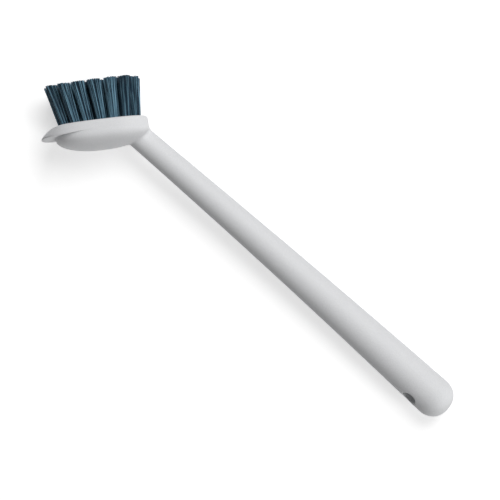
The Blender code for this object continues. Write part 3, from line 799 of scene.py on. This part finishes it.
def tuft_arrays(field, tufts, turn, place, placement, random):
    """Vertices, faces, count of side faces, tones and streak places of one tuft.

    Each filament is a ring of corners carried along its middle line, on a radius that
    falls evenly from the deck to the tip. It is kept above the table.
    """
    centres, up = strand_centres(field, tufts, turn, place, random)
    count = len(centres)
    head = centres @ turn.T
    head[..., :2] += place
    middles = placed(head, placement)
    middles[..., 2] = np.maximum(middles[..., 2], tufts.radius + tufts.table_gap)
    angles = full_turn(STRAND_SIDES) + random.uniform(0.0, 2.0 * math.pi, (count, 1))
    circle = level_circle(angles) @ turn.T @ placement[0].T
    radius = tufts.radius * (1.0 - tufts.taper * up)
    points = middles[:, :, None] + radius[..., None, None] * circle[:, None]
    index = np.arange(points.size // 3).reshape(points.shape[:3])
    sides = grid_faces(index[:, 1:], index[:, :-1])
    caps = np.concatenate([index[:, 0, ::-1], index[:, -1]])
    faces = sides.tolist() + caps.tolist()
    tone = np.broadcast_to(random.random(count)[:, None, None], index.shape)
    apart = random.uniform(0.0, STREAK_SPREAD, count)[:, None, None]
    streak = np.stack([np.broadcast_to(apart, index.shape), tone * STREAK_TONE,
                       np.broadcast_to(up[..., None], index.shape)], axis=-1)
    return points.reshape(-1, 3), faces, len(sides), tone.ravel(), streak.reshape(-1, 3)


# Meshes and finishes


def new_object(name, data):
    """An object of the scene, at the origin."""
    item = bpy.data.objects.new(name, data)
    bpy.context.scene.collection.objects.link(item)
    return item


def new_piece(name, vertices, faces, material, slot, *nodes):
    """A piece made of a mesh at the origin, riding on the brush in place of CAD nodes."""
    mesh = bpy.data.meshes.new(name)
    mesh.from_pydata(vertices.tolist(), [], faces)
    mesh.validate()
    mesh.shade_smooth()
    mesh.materials.append(material)
    piece = new_object(name, mesh)
    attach(piece, BODY)
    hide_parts(*nodes)
    return piece


def feed(tree, socket, value):
    """Link a node's output to a socket, or set the socket to a number or colour."""
    if isinstance(value, bpy.types.NodeSocket):
        tree.links.new(value, socket)
    else:
        socket.default_value = value


def add_node(tree, kind, location, **inputs):
    """A node of a tree, with values or links for the inputs that are named."""
    node = tree.nodes.new("ShaderNode" + kind)
    node.location = location
    for name, value in inputs.items():
        feed(tree, node.inputs[name.replace("_", " ")], value)
    return node


def add_math(tree, operation, location, *values):
    """The result of a Math node on numbers or other nodes' outputs."""
    node = add_node(tree, "Math", location)
    node.operation = operation
    for socket, value in zip(node.inputs, values):
        feed(tree, socket, value)
    return node.outputs[0]


def attribute(tree, name, location):
    """A node that reads an attribute of the mesh."""
    node = add_node(tree, "Attribute", location)
    node.attribute_name = name
    return node


def grain_group():
    """Node group: fine grain as a height, and a slow drift of tone, from two noises."""
    found = bpy.data.node_groups.get("brush_grain")
    if found:
        return found
    tree = bpy.data.node_groups.new("brush_grain", "ShaderNodeTree")
    for name, kind in (("Vector", "Vector"), ("Grain Scale", "Float"), ("Drift Scale", "Float")):
        tree.interface.new_socket(name, in_out="INPUT", socket_type="NodeSocket" + kind)
    for name in ("Height", "Drift"):
        tree.interface.new_socket(name, in_out="OUTPUT", socket_type="NodeSocketFloat")
    given = tree.nodes.new("NodeGroupInput")
    result = tree.nodes.new("NodeGroupOutput")
    result.location = (500, 0)
    for name, scale, level, detail, roughness in (("Height", "Grain Scale", 120, 3.0, 0.6),
                                                  ("Drift", "Drift Scale", -160, 2.0, 0.5)):
        noise = add_node(tree, "TexNoise", (200, level), Vector=given.outputs["Vector"],
                         Scale=given.outputs[scale], Detail=detail, Roughness=roughness)
        tree.links.new(noise.outputs["Fac"], result.inputs[name])
    return tree


def new_material(name):
    """A material, its node tree and its shader."""
    material = bpy.data.materials.new(name)
    material.use_nodes = True
    return material, material.node_tree, material.node_tree.nodes["Principled BSDF"]


def start_finish(finish, read_place):
    """A material whose grain gives it its roughness and its bump.

    The grain lies on the coordinates that the function read_place finds in a node tree.
    """
    material, tree, shader = new_material(finish.name)
    grain = add_node(tree, "Group", (-700, 0))
    grain.node_tree = grain_group()
    feed(tree, grain.inputs["Vector"], read_place(tree))
    feed(tree, grain.inputs["Grain Scale"], finish.grain)
    feed(tree, grain.inputs["Drift Scale"], finish.drift)
    height = grain.outputs["Height"]
    rough = add_node(tree, "MapRange", (-250, -60), Value=height, From_Min=NOISE_ENDS[0],
                     From_Max=NOISE_ENDS[1], To_Min=finish.roughness[0],
                     To_Max=finish.roughness[1])
    bump = add_node(tree, "Bump", (-250, -300), Height=height, Distance=finish.bump[0],
                    Strength=finish.bump[1])
    tree.links.new(rough.outputs["Result"], shader.inputs["Roughness"])
    tree.links.new(bump.outputs["Normal"], shader.inputs["Normal"])
    shader.inputs["Specular IOR Level"].default_value = finish.specular
    shader.inputs["Metallic"].default_value = finish.metallic
    return material, tree, shader, grain


def blend_colours(tree, shader, value, first, second):
    """Colour a shader between two colours by a value, stretched from its usual ends."""
    spread = add_node(tree, "MapRange", (-450, 200), Value=value, From_Min=NOISE_ENDS[0],
                      From_Max=NOISE_ENDS[1])
    mix = add_node(tree, "Mix", (-250, 200))
    mix.data_type = "RGBA"
    ends = [socket for socket in mix.inputs if socket.type == "RGBA"]
    for socket, colour in zip(ends, (first, second)):
        socket.default_value = (*colour, 1.0)
    tree.links.new(spread.outputs["Result"], mix.inputs["Factor"])
    result = next(socket for socket in mix.outputs if socket.type == "RGBA")
    tree.links.new(result, shader.inputs["Base Color"])


def object_place(tree):
    """Object coordinates."""
    return add_node(tree, "TexCoord", (-1100, 0)).outputs["Object"]


def drawn_place(tree):
    """Object coordinates that are drawn out along Z, so that the grain runs in streaks."""
    drawn = add_node(tree, "Mapping", (-900, 0), Vector=object_place(tree), Scale=DRAWN_SCALE)
    return drawn.outputs["Vector"]


def streak_place(tree):
    """The filaments' own streak coordinates."""
    return attribute(tree, "streak", (-900, 0)).outputs["Vector"]


def plastic_finish(size):
    """Pale grey plastic whose fine matte grain shows in its colour, gloss and surface."""
    material, tree, shader, grain = start_finish(PLASTIC, object_place)
    blend_colours(tree, shader, grain.outputs["Height"], size.shade, size.colour)
    return material


def bristle_finish(tufts):
    """Dark blue-grey nylon: each filament has its own tone, streaked along its length.

    Shares of tone and streaks are summed and raised to a power, which keeps most dark.
    """
    material, tree, shader, grain = start_finish(BRISTLE, streak_place)
    tone = attribute(tree, "tone", (-900, 300)).outputs["Fac"]
    part = add_math(tree, "MULTIPLY", (-760, 160), grain.outputs["Drift"], DRIFT_SHARE)
    mixed = add_math(tree, "MULTIPLY_ADD", (-600, 260), tone, TONE_SHARE, part)
    curved = add_math(tree, "POWER", (-440, 260), mixed, TONE_POWER)
    blend_colours(tree, shader, curved, tufts.dark, tufts.light)
    return material


def steel_finish():
    """Bright drawn steel strip with fine streaks and a slightly uneven polish."""
    material, tree, shader, grain = start_finish(STEEL, drawn_place)
    blend_colours(tree, shader, grain.outputs["Drift"], *STEEL_COLOURS)
    return material


# The studio


def seen_share(tree, x, y):
    """1 for rays from the camera and for those that gloss and glass send on, else 0."""
    path = add_node(tree, "LightPath", (x - 400, y))
    value = path.outputs["Is Camera Ray"]
    for step, name in enumerate(("Is Glossy Ray", "Is Transmission Ray")):
        value = add_math(tree, "MAXIMUM", (x - 200 + 160 * step, y), value, path.outputs[name])
    return value


def floor_finish(stage):
    """Pale matt floor, with a white glow that only shows where the floor is looked at.

    The glow grows to white with the distance from the brush, as the lamps' light fades.
    """
    material, tree, shader = new_material("floor_finish")
    for name, value in (("Base Color", (*stage.floor, 1.0)), ("Roughness", 1.0),
                        ("Specular IOR Level", 0.0), ("Emission Color", WHITE)):
        shader.inputs[name].default_value = value
    away = add_node(tree, "VectorMath", (-600, -500))
    away.operation = "LENGTH"
    tree.links.new(object_place(tree), away.inputs[0])
    level = add_node(tree, "MapRange", (-400, -500), Value=away.outputs["Value"],
                     From_Min=stage.glow_near, From_Max=stage.glow_far,
                     To_Min=stage.floor_glow, To_Max=1.0)
    glow = add_math(tree, "MULTIPLY", (-200, -200), seen_share(tree, -400, -200),
                    level.outputs["Result"])
    tree.links.new(glow, shader.inputs["Emission Strength"])
    return material


def make_floor(stage):
    """A square level floor at the height on which the brush lies."""
    half = stage.floor_side / 2.0
    corners = [(-half, -half, 0.0), (half, -half, 0.0), (half, half, 0.0), (-half, half, 0.0)]
    mesh = bpy.data.meshes.new("floor")
    mesh.from_pydata(corners, [], [(0, 1, 2, 3)])
    mesh.materials.append(floor_finish(stage))
    new_object("floor", mesh)


def make_world(stage):
    """Even light from all round, and white where the camera sees past the floor."""
    world = bpy.data.worlds.new("studio")
    bpy.context.scene.world = world
    world.use_nodes = True
    tree = world.node_tree
    tree.nodes.clear()
    mix = add_node(tree, "MixShader", (250, 0), Fac=seen_share(tree, 0, 300))
    for socket, strength in ((1, stage.room_level), (2, 1.0)):
        light = add_node(tree, "Background", (0, 300 - 200 * socket), Color=WHITE,
                         Strength=strength)
        tree.links.new(light.outputs[0], mix.inputs[socket])
    output = add_node(tree, "OutputWorld", (450, 0))
    tree.links.new(mix.outputs[0], output.inputs["Surface"])


def make_lamp(name, size, distance, tilt, turn, level):
    """A square soft lamp that faces the brush from a given lean and turn.

    Its power is the light wanted on the brush times the square of pi and of its distance.
    """
    lamp = bpy.data.lights.new(name, "AREA")
    lamp.shape = "SQUARE"
    lamp.size = size
    lamp.energy = level * (math.pi * distance) ** 2
    item = new_object(name, lamp)
    toward = Vector((math.sin(tilt) * math.cos(turn), math.sin(tilt) * math.sin(turn),
                     math.cos(tilt)))
    item.location = toward * distance
    item.rotation_euler = toward.to_track_quat("Z", "Y").to_euler()


def make_camera(stage):
    """A long lens straight above the brush, turned so that the handle runs to a corner."""
    data = bpy.data.cameras.new("camera")
    data.lens = data.sensor_width * (stage.distance - stage.aim_height) / stage.frame_width
    camera = new_object("camera", data)
    camera.location = (stage.aim_x, stage.aim_y, stage.distance)
    camera.rotation_euler = (0.0, 0.0, stage.roll)
    bpy.context.scene.camera = camera


# Operators, panel and registration


class BuildMoulding(bpy.types.Operator):
    """Make the fine head, scraper and handle as one closed skin."""

    bl_idname = "kitchen_brush.moulding"
    bl_label = "Moulding"

    def execute(self, context):
        """Work out the skin in the head frame, place it and give it its plastic."""
        wanted = settings()
        vertices, faces = moulding_arrays(wanted.field, wanted.moulding)
        vertices = placed(vertices, head_placement(wanted.field))
        piece = new_piece("brush_moulding", vertices, faces, plastic_finish(wanted.moulding),
                          "grey_plastic", "brush_body")
        piece.data.set_sharp_from_angle(angle=SHARP_ANGLE)
        return {"FINISHED"}


class BuildTufts(bpy.types.Operator):
    """Make every tuft as a bundle of single filaments in its socket."""

    bl_idname = "kitchen_brush.tufts"
    bl_label = "Tufts"

    def execute(self, context):
        """Work out each bundle with its own random numbers and place it."""
        wanted = settings()
        field = wanted.field
        placement = head_placement(field)
        names, places = tuft_places(field)
        turns = tuft_turns(field, places)
        material = bristle_finish(wanted.tufts)
        for number, name in enumerate(names):
            random = np.random.default_rng(wanted.tufts.seed + number)
            vertices, faces, sides, tone, streak = tuft_arrays(
                field, wanted.tufts, turns[number], places[number], placement, random)
            piece = new_piece("filaments_" + name, vertices, faces, material, "blue_bristle",
                              "tuft_" + name)
            mesh = piece.data
            mesh.polygons.foreach_set("use_smooth", np.arange(len(faces)) < sides)
            for layer, kind, field_name, values in (
                    ("tone", "FLOAT", "value", tone), ("streak", "FLOAT_VECTOR", "vector", streak)):
                made = mesh.attributes.new(layer, kind, "POINT")
                made.data.foreach_set(field_name, values.astype(np.float32).ravel())
        return {"FINISHED"}


class FinishAnchors(bpy.types.Operator):
    """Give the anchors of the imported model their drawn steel."""

    bl_idname = "kitchen_brush.anchors"
    bl_label = "Anchors"

    def execute(self, context):
        """Assign one steel finish to the material slots of all anchors."""
        material = steel_finish()
        anchors = [node for name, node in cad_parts.items() if name.startswith("anchor_")]
        if not anchors:
            raise RuntimeError("the packed model has no anchors")
        for anchor in anchors:
            if not anchor.material_slots:
                anchor.data.materials.append(material)
            for slot in anchor.material_slots:
                slot.material = material
        return {"FINISHED"}


class BuildStudio(bpy.types.Operator):
    """Set up the floor, the light and the camera."""

    bl_idname = "kitchen_brush.studio"
    bl_label = "Studio"

    def execute(self, context):
        """Make the stage and show colours as they are."""
        stage = settings().stage
        make_floor(stage)
        make_world(stage)
        make_lamp("main_lamp", stage.lamp_size, stage.lamp_distance, stage.lamp_tilt,
                  stage.lamp_turn, stage.lamp_level)
        make_lamp("side_lamp", stage.side_size, stage.lamp_distance, stage.side_tilt,
                  stage.side_turn, stage.side_level)
        make_camera(stage)
        context.scene.view_settings.view_transform = "Standard"
        return {"FINISHED"}


class BrushPanel(bpy.types.Panel):
    """Lists the steps that build the brush and the settings of each."""

    bl_idname = "VIEW3D_PT_kitchen_brush"
    bl_label = "Kitchen Brush"
    bl_space_type = "VIEW_3D"
    bl_region_type = "UI"
    bl_category = "Brush"

    def draw(self, context):
        """Draw one box for each step with its button and its settings."""
        wanted = settings()
        for step, group in ((BuildMoulding, wanted.moulding), (BuildTufts, wanted.tufts),
                            (FinishAnchors, wanted.field), (BuildStudio, wanted.stage)):
            box = self.layout.box()
            box.operator(step.bl_idname)
            for name in group.bl_rna.properties.keys():
                if name not in ("rna_type", "name"):
                    box.prop(group, name)


CLASSES = (BrushFieldSettings, BrushMouldingSettings, BrushTuftSettings, BrushStageSettings,
           BrushSettings, BuildMoulding, BuildTufts, FinishAnchors, BuildStudio, BrushPanel)


def register():
    """Register the classes and hang the settings on the scene."""
    for item in CLASSES:
        bpy.utils.register_class(item)
    bpy.types.Scene.kitchen_brush = bpy.props.PointerProperty(type=BrushSettings)


def unregister():
    """Take the settings off the scene and remove the classes."""
    del bpy.types.Scene.kitchen_brush
    for item in reversed(CLASSES):
        bpy.utils.unregister_class(item)


def main():
    """Build the brush and its studio."""
    register()
    bpy.ops.kitchen_brush.moulding()
    bpy.ops.kitchen_brush.tufts()
    bpy.ops.kitchen_brush.anchors()
    bpy.ops.kitchen_brush.studio()


if __name__ == "__main__":
    main()
